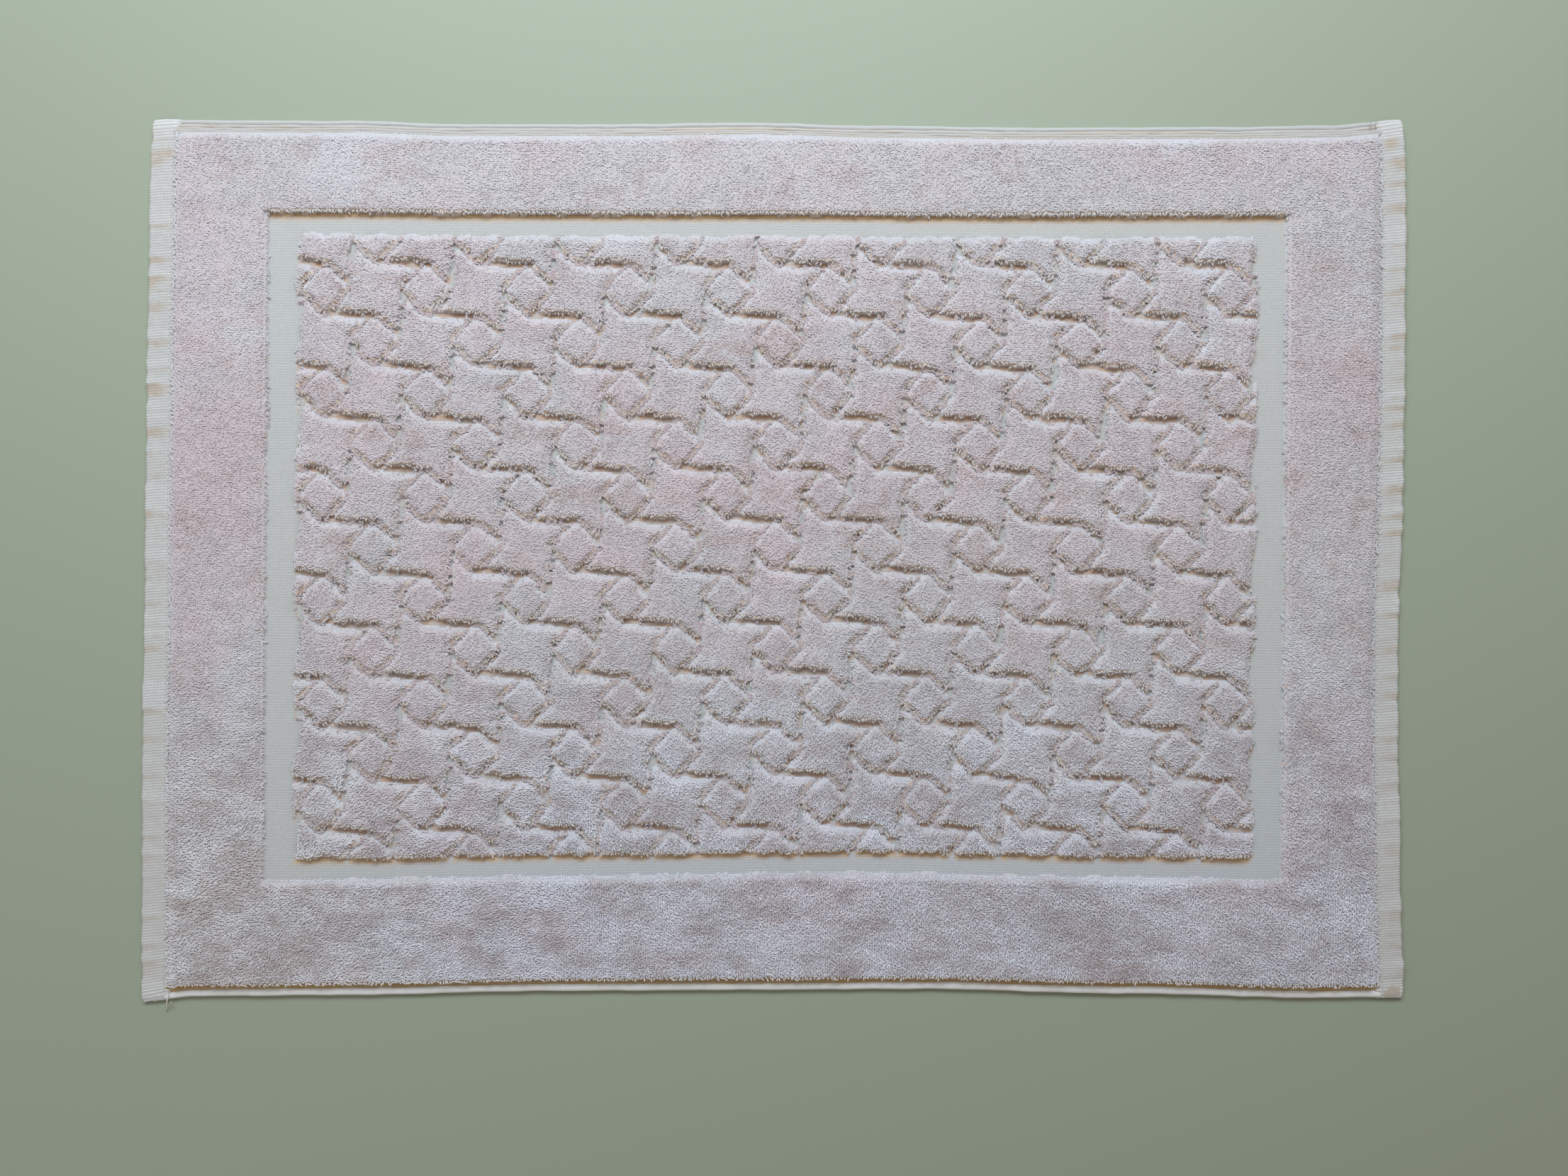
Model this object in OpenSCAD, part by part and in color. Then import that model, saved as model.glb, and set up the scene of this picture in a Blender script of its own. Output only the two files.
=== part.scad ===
// Terry bath mat, woven in one piece: a flat cloth with terry loops on both faces, a recessed flat
// channel framing a patterned panel, turned and stitched hems at both ends, and thick selvedges.
// It lies on its back on the plane Z = 0. X runs from hem to hem, Y from selvedge to selvedge.

/* [Mat] */
// Length from hem fold to hem fold
mat_length = 700; // [660:5:740]
// Width over the ends of the hems
mat_width = 492; // [488:1:520]
// Width over the selvedges, between the hems
cloth_width = 486; // [480:1:487]

/* [Thickness] */
// Height of the low loops on the back
back_pile_h = 2.3; // [1:0.1:4]
// Thickness of the woven ground
ground_t = 1.0; // [0.5:0.1:1.5]
// Height of the loops on the face, above the ground
face_pile_h = 3.7; // [2:0.1:6]

/* [Panel] */
// Length of the recess that frames the panel
recess_length = 570; // [560:1:576]
// Width of the recess that frames the panel
recess_width = 370; // [364:1:380]
// How far the recess sits from the middle, towards the top selvedge
recess_offset = 9; // [0:0.5:12]
// Flat channel between the border and the panel, at the panel's two ends
channel_end_w = 17.5; // [10:0.5:20]
// Flat channel between the border and the panel, along its two long sides
channel_side_w = 12.5; // [8:0.5:16]

/* [Pattern] */
// Distance between motifs along X
column_pitch = 28; // [27:0.1:30]
// Distance between motifs along Y
row_pitch = 28.6; // [28:0.1:30]
// Rows of motifs across the panel
row_count = 13; // [3:2:13]
// How far the first row's centres lie inside the panel's top edge
first_row_inset = 1.5; // [0:0.5:6]
// Pinwheel blade tip, distance across from the pinwheel's centre
tip_across = 11.5; // [10:0.1:12.5]
// Pinwheel blade tip, distance along from the pinwheel's centre
tip_along = 22.5; // [20:0.1:23.5]
// Notch between two blades, distance across from the pinwheel's centre
notch_across = 1.5; // [0:0.1:3]
// Notch between two blades, distance along from the pinwheel's centre
notch_along = 13.5; // [12:0.1:14]
// Lozenge, half of its diagonal along X
lozenge_half_x = 13.2; // [10:0.1:14]
// Lozenge, half of its diagonal along Y
lozenge_half_y = 13.9; // [10:0.1:14.5]

/* [Edges] */
// Width of each stitched hem
hem_w = 12; // [8:0.5:20]
// Thickness of a hem, three layers of cloth
hem_h = 3; // [2.4:0.1:4]
// Thickness of one layer of hem cloth
hem_layer_t = 0.9; // [0.5:0.05:1.1]
// Width of each selvedge
selvedge_w = 5.5; // [3:0.5:8]
// Thickness of the rounded edge of a selvedge
selvedge_h = 3.3; // [2:0.1:3.3]
// Thickness of the flat part of a selvedge
selvedge_flat_t = 1.6; // [1:0.1:2]

/* [Sewing] */
// Length of one stitch of the hem seams
stitch_length = 2.8; // [2:0.1:4]
// Distance between the starts of two stitches
stitch_pitch = 3.5; // [3:0.1:5]
// Diameter of the sewing thread
thread_d = 0.6; // [0.3:0.05:0.8]
// Distance of the seam from the inner edge of the hem
seam_inset = 1.6; // [1:0.1:4]
// Length of the longest loose thread end
tail_length = 7.8; // [3:0.1:7.8]

/* [Hidden] */
$fn = 48;
pale_lilac = [0.78, 0.76, 0.79];
cream = [0.85, 0.84, 0.80];
white = [0.92, 0.92, 0.91];
dark_thread = [0.30, 0.24, 0.20];

ground_z = back_pile_h;
face_z = ground_z + ground_t;
hem_x = mat_length / 2 - hem_w;
selvedge_y = cloth_width / 2 - selvedge_w;
recess_x = recess_length / 2;
recess_top = recess_offset + recess_width / 2;
recess_bottom = recess_offset - recess_width / 2;
panel_length = recess_length - 2 * channel_end_w;
panel_width = recess_width - 2 * channel_side_w;
panel_top = recess_top - channel_side_w;
last_column = ceil(panel_length / 2 / column_pitch);
layer_gap = 0.1;
seam_margin = 5;
stitch_count = floor((mat_width - 2 * seam_margin) / stitch_pitch);
tail_count = 2;
tail_tip = 12;
short_end_tip = 4;

// A flat slab between two corners of the plan, standing on z with height h.
module slab(low, high, z, h) {
    translate([low[0], low[1], z])
        cube([high[0] - low[0], high[1] - low[1], h]);
}

module ground_cloth() {
    color(cream)
        slab([-hem_x, -selvedge_y], [hem_x, selvedge_y], ground_z, ground_t);
}

module back_pile() {
    color(pale_lilac)
        slab([-hem_x, -selvedge_y], [hem_x, selvedge_y], 0, back_pile_h);
}

// One bar of the border of face loops.
module border_bar(low, high) {
    color(pale_lilac)
        slab(low, high, face_z, face_pile_h);
}

module border_pile_top() {
    border_bar([-hem_x, recess_top], [hem_x, selvedge_y]);
}

module border_pile_bottom() {
    border_bar([-hem_x, -selvedge_y], [hem_x, recess_bottom]);
}

module border_pile_left() {
    border_bar([-hem_x, recess_bottom], [-recess_x, recess_top]);
}

module border_pile_right() {
    border_bar([recess_x, recess_bottom], [hem_x, recess_top]);
}

// Four pointed blades around one centre, each a quarter turn from the last.
module pinwheel() {
    polygon([
        [-tip_across, tip_along], [-notch_across, notch_along],
        [tip_along, tip_across], [notch_along, notch_across],
        [tip_across, -tip_along], [notch_across, -notch_along],
        [-tip_along, -tip_across], [-notch_along, -notch_across]
    ]);
}

module lozenge() {
    polygon([
        [0, lozenge_half_y], [lozenge_half_x, 0],
        [0, -lozenge_half_y], [-lozenge_half_x, 0]
    ]);
}

// The two motifs alternate like the squares of a chessboard. parity 0 picks the lozenges' places
// and 1 the pinwheels'. What crosses the edge of the panel is cut off there. The outermost columns
// hold pinwheels only, because a lozenge there would barely reach over the edge.
module tufts(parity) {
    last = parity == 0 ? last_column - 1 : last_column;
    color(pale_lilac)
        intersection() {
            for (row = [0 : row_count - 1])
                for (column = [-last : last])
                    if (abs(row + column) % 2 == parity)
                        translate([column * column_pitch,
                                   panel_top - first_row_inset - row * row_pitch,
                                   face_z])
                            linear_extrude(face_pile_h)
                                children();
            slab([-panel_length / 2, panel_top - panel_width], [panel_length / 2, panel_top],
                 face_z - 1, face_pile_h + 2);
        }
}

module pinwheel_tufts() {
    tufts(1) pinwheel();
}

module lozenge_tufts() {
    tufts(0) lozenge();
}

// Cross-section of a selvedge: a flat woven strip that ends in a rounded edge.
// Its first axis points away from the mat, and its second one up.
module selvedge_profile() {
    roll_r = selvedge_h / 2;
    translate([selvedge_w - roll_r, roll_r])
        circle(roll_r);
    translate([0, roll_r - selvedge_flat_t / 2])
        square([selvedge_w - roll_r, selvedge_flat_t]);
}

module selvedge(side) {
    color(white)
        mirror([0, side < 0 ? 1 : 0, 0])
            translate([-hem_x, selvedge_y, 0])
                rotate([90, 0, 90])
                    linear_extrude(2 * hem_x)
                        selvedge_profile();
}

module selvedge_top() {
    selvedge(1);
}

module selvedge_bottom() {
    selvedge(-1);
}

// Cross-section of a strip with one round end, the outline of a folded layer.
module folded_strip(length, thickness) {
    square([length - thickness / 2, thickness]);
    translate([length - thickness / 2, thickness / 2])
        circle(thickness / 2);
}

// The hem cloth folded round its outer edge: top layer, fold and bottom layer.
module hem_profile() {
    difference() {
        folded_strip(hem_w, hem_h);
        translate([-1, hem_layer_t])
            folded_strip(hem_w + 1 - hem_layer_t, hem_h - 2 * hem_layer_t);
    }
}

// The raw edge turned in between the two layers.
module turn_in_profile() {
    translate([0, hem_layer_t + layer_gap])
        square([hem_w - hem_h / 2 - layer_gap, hem_h - 2 * hem_layer_t - 2 * layer_gap]);
}

// Runs a cross-section along the whole width of the mat at one end, side -1 or 1.
module along_hem(side) {
    mirror([side < 0 ? 1 : 0, 0, 0])
        translate([hem_x, mat_width / 2, 0])
            rotate([90, 0, 0])
                linear_extrude(mat_width)
                    children();
}

module hem_left() {
    color(cream)
        along_hem(-1) hem_profile();
}

module hem_right() {
    color(cream)
        along_hem(1) hem_profile();
}

module hem_left_turn_in() {
    color(cream)
        along_hem(-1) turn_in_profile();
}

module hem_right_turn_in() {
    color(cream)
        along_hem(1) turn_in_profile();
}

// A row of stitches lying on a hem, side -1 or 1.
module stitching(side) {
    color(white)
        for (i = [0 : stitch_count - 1])
            translate([side * (hem_x + seam_inset),
                       (i - (stitch_count - 1) / 2) * stitch_pitch,
                       hem_h + thread_d / 2])
                rotate([90, 0, 0])
                    cylinder(h = stitch_length, d = thread_d, center = true);
}

module hem_left_stitching() {
    stitching(-1);
}

module hem_right_stitching() {
    stitching(1);
}

// A loose thread end: a straight length that leaves from a point, turned in plan and tipped down.
module thread_end(from, length, turn, tip) {
    translate(from)
        rotate([0, 90 + tip, turn])
            cylinder(h = length, d = thread_d);
}

// Two cream tails hang over the bottom selvedge beside the left hem.
module thread_tails_bottom_left() {
    color(cream)
        for (i = [0 : tail_count - 1])
            thread_end([-hem_x + 0.4 + 2.2 * i, -selvedge_y - 0.9 - 1.1 * i, selvedge_h],
                       tail_length * (1 - 0.55 * i), 255 - 8 * i, tail_tip);
}

// Two short dark ends lie on the top selvedge beside the right hem.
module thread_tails_top_right() {
    color(dark_thread)
        for (i = [0 : tail_count - 1])
            thread_end([hem_x - 4.2 + 2.6 * i, selvedge_y + 1.5, selvedge_h + thread_d],
                       tail_length * 0.46, 70 + 25 * i, short_end_tip);
}

ground_cloth();
back_pile();
border_pile_top();
border_pile_bottom();
border_pile_left();
border_pile_right();
pinwheel_tufts();
lozenge_tufts();
selvedge_top();
selvedge_bottom();
hem_left();
hem_right();
hem_left_turn_in();
hem_right_turn_in();
hem_left_stitching();
hem_right_stitching();
thread_tails_bottom_left();
thread_tails_top_right();
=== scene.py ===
"""A terry bath mat lying flat, seen from straight above: woven ground, loops, hems, selvedges and thread.

Lengths here are millimetres in the CAD model's frame, and become metres only when a mesh is made.
"""

import math

import bpy
import numpy as np
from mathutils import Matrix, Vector


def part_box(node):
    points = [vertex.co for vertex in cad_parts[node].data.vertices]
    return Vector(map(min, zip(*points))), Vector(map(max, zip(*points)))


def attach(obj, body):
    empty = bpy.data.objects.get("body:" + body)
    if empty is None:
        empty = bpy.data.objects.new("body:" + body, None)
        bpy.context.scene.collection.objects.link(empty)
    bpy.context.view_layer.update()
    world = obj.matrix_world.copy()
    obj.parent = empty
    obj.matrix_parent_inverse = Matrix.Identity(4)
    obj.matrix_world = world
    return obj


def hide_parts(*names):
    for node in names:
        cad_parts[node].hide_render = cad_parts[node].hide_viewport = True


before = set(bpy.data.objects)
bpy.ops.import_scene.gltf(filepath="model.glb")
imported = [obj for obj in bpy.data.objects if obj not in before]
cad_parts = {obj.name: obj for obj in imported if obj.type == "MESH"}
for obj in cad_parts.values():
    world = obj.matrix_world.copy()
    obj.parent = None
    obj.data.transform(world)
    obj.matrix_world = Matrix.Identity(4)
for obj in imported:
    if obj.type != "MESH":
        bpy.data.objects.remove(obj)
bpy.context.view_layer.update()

MM = 0.001

# ---- sizes read from the CAD model


def corners(node):
    """A CAD node's lowest and highest corner, in millimetres."""
    low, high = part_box(node)
    return np.array(low) / MM, np.array(high) / MM


ground_low, ground_high = corners("ground_cloth")
top_low, top_high = corners("border_pile_top")
bottom_high = corners("border_pile_bottom")[1]
left_high = corners("border_pile_left")[1]
right_low = corners("border_pile_right")[0]
panel_low, panel_high = corners("pinwheel_tufts")
hem_low, hem_high = corners("hem_right")
selvedge_low, selvedge_high = corners("selvedge_top")
stitch_low, stitch_high = corners("hem_right_stitching")

FACE_Z = ground_high[2]
PILE_H = top_high[2] - FACE_Z
BACK_H = ground_low[2]
HEM_X = hem_low[0]
MAT_X = hem_high[0]
HEM_H = hem_high[2]
SELVEDGE_Y = selvedge_low[1]
EDGE_Y = selvedge_high[1]
RECESS_LOW = np.array([left_high[0], bottom_high[1]])
RECESS_HIGH = np.array([right_low[0], top_low[1]])

# ---- sizes of the weave and the loops

COLUMN_PITCH = 28.0  # between motifs along X, as in the CAD model
ROW_PITCH = 28.6
FIRST_ROW_INSET = 1.5
PINWHEEL = [(-11.5, 22.5), (-1.5, 13.5), (22.5, 11.5), (13.5, 1.5),
            (11.5, -22.5), (1.5, -13.5), (-22.5, -11.5), (-13.5, -1.5)]
LOZENGE = [(0, 13.9), (13.2, 0), (0, -13.9), (-13.2, 0)]
LOZENGE_ROUND = 12.0  # the loops round off a lozenge's corners at this radius
MOTIF_REACH = 24  # how far along X and Y from its centre a motif's cells are looked for
MOTIF_STRAY = 1.25  # how much the motifs' edges stray, and next how much the border's do
BORDER_STRAY_X, BORDER_STRAY_Y = 0.5, 0.4
FIRST_ROW_Y = panel_high[1] - FIRST_ROW_INSET
COLUMNS = math.ceil(panel_high[0] / COLUMN_PITCH)  # on each side of the middle one
ROWS = int((FIRST_ROW_Y - panel_low[1]) // ROW_PITCH) + 1

LOOP_PITCH = np.array([1.30, 1.10])
TOP_INSET = 1.2  # how far short of the upper selvedge the loops stop
LEAN = 1.7  # how far the tops of the loops lean towards -Y
CELL = 0.25  # of the map that says where there is pile
BED_CELL = 1.5  # of the pile's dense lower half, in the border
PANEL_BED_CELL = 1.35
BED_MARGIN = 2 * PANEL_BED_CELL  # how far the panel's bed may reach past it, to slope down to the ground
BED_FOOT = 0.35  # how far below the ground's top the bed runs at the foot of the pile
EDGE_DROP = 1.2  # and how far at the hems and selvedges, to meet them
NARROW_GAP = 3.6  # a groove narrower than this, measured along X or Y, is half filled by the loops beside it
GROUND_CELL = 4.0
GROUND_SINK = 0.15  # how far the sheet lies below the ground's top, so that its floats show
WEB_DROP = 1.3  # and how far it runs down into the selvedges
STRIP_WIDTH = 3  # points across a strand: its two flanks and its crest
STRAND_RINGS = 3
STRAND_POINTS = STRAND_RINGS * STRIP_WIDTH
SPLAY_REACH = 2.0  # loops this near the side of a motif splay out
LOOP_RISE = np.array([0.80, 1.0, 0.80])  # how high a loop's three rings lie, as shares of its crest
LOOP_TAPER = np.array([0.75, 1.0, 0.75])
BACK_TAPER = np.array([0.8, 1.0, 0.8])
STEP = np.array([-0.5, 0.0, 0.5])  # where a strand's rings lie along it
BOW = np.array([0.0, 1.0, 0.0])  # how far each goes sideways with its curl
NOISE_CELLS = 64  # after this many bumps the noise repeats
RIB_PITCH = 1.52
FLOAT_PITCH = 1.48
BACK_PITCH = 2.4
BACK_INSET = 1.4  # how far the back's loops stay clear of the hems and selvedges
BACK_BED_COLUMNS, BACK_BED_ROWS = 85, 60
BACK_BED_MARGIN = 2.0
BACK_FOOT = 1.45  # how high the ends of the back's loops lie
HEM_RIB = 0.35  # how far the hem's ribs stand proud
HEM_FLAT = MAT_X - HEM_X - HEM_H / 2  # the flat part of a hem, between its seam side and its fold
HEM_ROUND = 2 * HEM_FLAT + math.pi * HEM_H / 2  # the way round a hem, over its fold and back
HEM_OVERLAP = 1.5  # how far a hem's band runs in under the pile
HEM_ROWS = 247
RIB_STEP = 1.4  # between ribs, round the hem
RIB_LENGTH = 2.0
RIB_RADII = np.array([0.50, 0.68, 0.68, 0.50])
STITCH_PITCH = 3.5
STITCH_LENGTH = 3.1
CORD_SIDES, ROLL_SIDES = 6, 22
CORD_RINGS = 451
HEM_END = EDGE_Y  # each hem ends level with the selvedges
# Tan marks on each hem: how far round the band, how far along it, and the size.
HEM_MARKS = {-1: [(3, 226, 2.5)], 1: [(5, 232, 3), (6, -241, 3.5)]}
HEM_SPREAD = 3.0  # how much further out the hems and the selvedges lie than they were sewn
SELVEDGE_SPREAD = 1.5
SEAM_X = (stitch_low[0] + stitch_high[0]) / 2

# ---- seeds; each lattice_noise call has its own as well

PLACE_SEED, LOOP_SEED, BED_SEED, FLOAT_SEED = 61, 100, 71, 91
BACK_SEED, RIB_SEED, STITCH_SEED, CORD_SEED = 95, 200, 300, 410

# ---- noise and shapes


def smoothstep(t):
    """Rises smoothly from 0 to 1 as t does."""
    t = np.clip(t, 0, 1)
    return t * t * (3 - 2 * t)


def lattice_noise(x, y, size, seed):
    """Smooth noise from -1 to 1 whose bumps are about size across."""
    table = np.random.default_rng(seed).uniform(-1, 1, (NOISE_CELLS, NOISE_CELLS))
    u, v = np.asarray(x) / size, np.asarray(y) / size
    i, j = np.floor(u).astype(int), np.floor(v).astype(int)
    fu, fv = smoothstep(u - i), smoothstep(v - j)
    i, j = i % NOISE_CELLS, j % NOISE_CELLS
    next_i, next_j = (i + 1) % NOISE_CELLS, (j + 1) % NOISE_CELLS
    near = table[i, j] * (1 - fu) + table[next_i, j] * fu
    far = table[i, next_j] * (1 - fu) + table[next_i, next_j] * fu
    return near * (1 - fv) + far * fv


def mix(a, b, t):
    """Colours a and b mixed by t, for many points at once."""
    t = np.asarray(t)[..., None]
    return np.asarray(a) * (1 - t) + np.asarray(b) * t


def inside(x, y, outline):
    """Which points lie inside an outline, by counting the edges to their right."""
    odd = np.zeros(np.shape(x), bool)
    for (ax, ay), (bx, by) in zip(outline, outline[1:] + outline[:1]):
        if ay == by:
            continue
        crosses = (ay > y) != (by > y)
        odd ^= crosses & (x < ax + (y - ay) * (bx - ax) / (by - ay))
    return odd


# ---- where there is pile

EMPTY, BORDER, WHEEL, DIAMOND = 0, 1, 2, 3


def run_lengths(mask, axis, backwards):
    """How far the true cells run on before each true cell along an axis, its own cell included."""
    out = np.zeros(mask.shape, np.float32)
    lines = np.moveaxis(mask, axis, 0)
    result = np.moveaxis(out, axis, 0)
    order = range(len(lines) - 1, -1, -1) if backwards else range(len(lines))
    length = np.zeros(lines.shape[1], np.float32)
    for i in order:
        length = np.where(lines[i], length + CELL, 0)
        result[i] = length
    return out


class PileMap:
    """A fine map of the mat's face: which motif each place belongs to, and how far the edges are."""

    def __init__(self):
        self.xs = np.arange(-HEM_X + CELL / 2, HEM_X, CELL)
        self.ys = np.arange(-SELVEDGE_Y + CELL / 2, SELVEDGE_Y, CELL)
        x, y = np.meshgrid(self.xs, self.ys)
        self.x, self.y = x, y
        # Edges of pile wander a little, as rows of loops do.
        self.stray_x = 0.8 * lattice_noise(x, y, 5, 11) + 0.6 * lattice_noise(x, y, 1.8, 12)
        self.stray_y = 0.8 * lattice_noise(x, y, 6, 13) + 0.6 * lattice_noise(x, y, 1.8, 14)
        self.kind = np.zeros(x.shape, np.uint8)
        self.row = np.zeros(x.shape, np.uint8)
        self.mark_border()
        self.mark_motifs()
        self.measure_edges()
        self.mark_narrow_grooves()

    def mark_border(self):
        """The border is the face outside the recess, and stops just short of the upper selvedge."""
        x, y = self.x + BORDER_STRAY_X * self.stray_x, self.y + BORDER_STRAY_Y * self.stray_y
        outside = (x < RECESS_LOW[0]) | (x > RECESS_HIGH[0]) | (y < RECESS_LOW[1]) | (y > RECESS_HIGH[1])
        self.kind[outside & (y < SELVEDGE_Y - TOP_INSET)] = BORDER

    def mark_motifs(self):
        """Pinwheels and lozenges take turns, and the outermost columns hold pinwheels only."""
        x, y = self.x + MOTIF_STRAY * self.stray_x, self.y + MOTIF_STRAY * self.stray_y
        self.in_panel = (x > panel_low[0]) & (x < panel_high[0]) & (y > panel_low[1]) & (y < panel_high[1])
        for row in range(ROWS):
            for column in range(-COLUMNS, COLUMNS + 1):
                is_wheel = (row + column) % 2 == 1
                if is_wheel or abs(column) < COLUMNS:
                    self.mark_motif(x, y, row, column, is_wheel)

    def mark_motif(self, x, y, row, column, is_wheel):
        """One pinwheel or lozenge, on the map whose strayed places are x, y."""
        centre_x, centre_y = column * COLUMN_PITCH, FIRST_ROW_Y - row * ROW_PITCH
        i0, i1 = np.searchsorted(self.xs, [centre_x - MOTIF_REACH, centre_x + MOTIF_REACH])
        j0, j1 = np.searchsorted(self.ys, [centre_y - MOTIF_REACH, centre_y + MOTIF_REACH])
        here = (slice(j0, j1), slice(i0, i1))
        dx, dy = x[here] - centre_x, y[here] - centre_y
        hit = inside(dx, dy, PINWHEEL if is_wheel else LOZENGE) & self.in_panel[here]
        if not is_wheel:
            hit &= np.hypot(dx, dy) < LOZENGE_ROUND
        self.kind[here][hit] = WHEEL if is_wheel else DIAMOND
        self.row[here][hit] = row

    def measure_edges(self):
        """How far each place in the pile is from its edges, and each open place from the pile's."""
        covered = self.kind > EMPTY
        self.to_top = run_lengths(covered, 0, True)
        self.to_bottom = run_lengths(covered, 0, False)
        self.to_left = run_lengths(covered, 1, False)
        self.to_right = run_lengths(covered, 1, True)
        self.below_edge = run_lengths(~covered, 0, True)
        self.above_edge = run_lengths(~covered, 0, False)
        self.right_of_edge = run_lengths(~covered, 1, False)
        self.left_of_edge = run_lengths(~covered, 1, True)

    def mark_narrow_grooves(self):
        """Each cell of a narrow groove counts to the row of motifs nearest to it."""
        gap = np.minimum(self.left_of_edge + self.right_of_edge, self.below_edge + self.above_edge)
        self.narrow = (self.kind == EMPTY) & self.in_panel & (gap < NARROW_GAP)
        nearest_row = np.clip(np.rint((FIRST_ROW_Y - self.y) / ROW_PITCH), 0, ROWS - 1).astype(np.uint8)
        self.row = np.where(self.narrow, nearest_row, self.row)

    def at(self, grid, x, y):
        """A map's values at points, and zero outside it."""
        i = np.floor((x + HEM_X) / CELL).astype(int)
        j = np.floor((y + SELVEDGE_Y) / CELL).astype(int)
        high, wide = self.kind.shape
        ok = (i >= 0) & (j >= 0) & (i < wide) & (j < high)
        return np.where(ok, grid[np.clip(j, 0, high - 1), np.clip(i, 0, wide - 1)], 0)

    def is_narrow(self, x, y):
        """Which points lie in a narrow groove."""
        return self.at(self.narrow, x, y) > 0

    def to_sides(self, x, y):
        """How far the nearer side of the pile is, along X."""
        return np.minimum(self.at(self.to_left, x, y), self.at(self.to_right, x, y))


pile = PileMap()


def pile_height(x, y):
    """Height of the pile above the ground, with the mat's own unevenness.

    It is full inside, lower towards the pile's edges and the hems, and about half in the narrow grooves.
    """
    rise = smoothstep((pile.at(pile.to_top, x, y) + 0.4) / 4.8)
    shoulder = 0.52 + 0.48 * smoothstep((pile.to_sides(x, y) + 0.3) / 4.2)
    shoulder *= 0.86 + 0.14 * smoothstep(pile.at(pile.to_bottom, x, y) / 2.5)
    hem = 0.2 + 0.8 * smoothstep((HEM_X - np.abs(x) + 0.5) / 7)
    full = PILE_H * (0.28 + 0.72 * rise) * shoulder * hem
    valley = np.where(pile.is_narrow(x, y), 0.45 * PILE_H, 0)
    here = pile.at(pile.kind, x, y) > EMPTY
    wander = 1 + 0.07 * lattice_noise(x, y, 14, 21) + 0.05 * lattice_noise(x, y, 5, 22)
    return np.where(here, full, valley) * wander


# ---- the mat's own unevenness


def between(value, places, amounts):
    """Smooth values between given places."""
    places = np.asarray(places, float)
    i = np.clip(np.searchsorted(places, value) - 1, 0, len(places) - 2)
    t = smoothstep((value - places[i]) / (places[i + 1] - places[i]))
    amounts = np.asarray(amounts, float)
    return amounts[i] * (1 - t) + amounts[i + 1] * t


# How far the laid cloth is moved, as places and the amounts there. First along X: at places along X in the
# middle of the mat, and at places along Y at its two ends.
MIDDLE_DX = [(-350, -248, -150, 0, 100, 220, 290, 350), (-1.7, -2.4, -0.3, 0.1, 0.6, 1.5, 0.3, 0.2)]
LEFT_DX = [(-250, -110, 0, 90, 190, 222, 250), (-4.4, -3.9, -2.4, -1.7, -0.1, 0.6, 2.6)]
RIGHT_DX = [(-250, -170, -80, -30, 30, 120, 215, 250), (0.6, -1.4, -2.6, -2.3, 0.1, 1.5, 1.9, -0.4)]
# Then along Y, at places along X: in the upper and lower half of the panel, and at the two long sides.
UPPER_DY = [(-350, -240, -160, 0, 100, 350), (3.0, 2.6, 1.5, 1.2, 0.4, 0.8)]
LOWER_DY = [(-350, -250, -120, 40, 180, 350), (-1.9, -2.2, -0.2, 1.8, -0.8, -3.2)]
TOP_DY = [(-350, -240, -180, -90, -20, 60, 140, 250, 310, 350),
          (4.8, 4.4, 2.5, 2.6, 3.4, 1.5, 0.4, 0.9, 1.8, 4.6)]
BOTTOM_DY = [(-350, -320, -250, -110, 0, 80, 200, 300, 350), (-2.6, 0.2, 0.8, 3.3, 3.7, 4.2, 1.8, -0.7, -0.4)]


def laid(points):
    """Moves points of the flat mat to where they lie, because the cloth is pulled a little out of square."""
    x, y, z = points[..., 0], points[..., 1], points[..., 2]
    dx = between(x, *MIDDLE_DX) + 0.2 + 0.009 * (y - 10)
    end_dx = np.where(x < 0, between(y, *LEFT_DX), between(y, *RIGHT_DX))
    at_end = smoothstep((np.abs(x) - 290) / 55)
    dx = dx * (1 - at_end) + end_dx * at_end
    upper, lower = between(x, *UPPER_DY), between(x, *LOWER_DY)
    dy = lower + (upper - lower) * np.clip((y + 140) / 300, 0, 1)
    dy = dy + (between(x, *TOP_DY) - dy) * smoothstep((y - 205) / 36)
    dy = dy + (between(x, *BOTTOM_DY) - dy) * smoothstep((-190 - y) / 48)
    dx = dx + HEM_SPREAD * np.sign(x) * smoothstep((np.abs(x) - HEM_X + 2) / (MAT_X - HEM_X - 1))
    dy = dy + SELVEDGE_SPREAD * np.sign(y) * smoothstep((np.abs(y) - SELVEDGE_Y) / (EDGE_Y - SELVEDGE_Y))
    lift = 0.35 + 0.35 * lattice_noise(x, y, 90, 33)
    return np.stack([x + dx, y + dy, z + lift * smoothstep(z / 2)], axis=-1)


# ---- meshes


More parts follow.
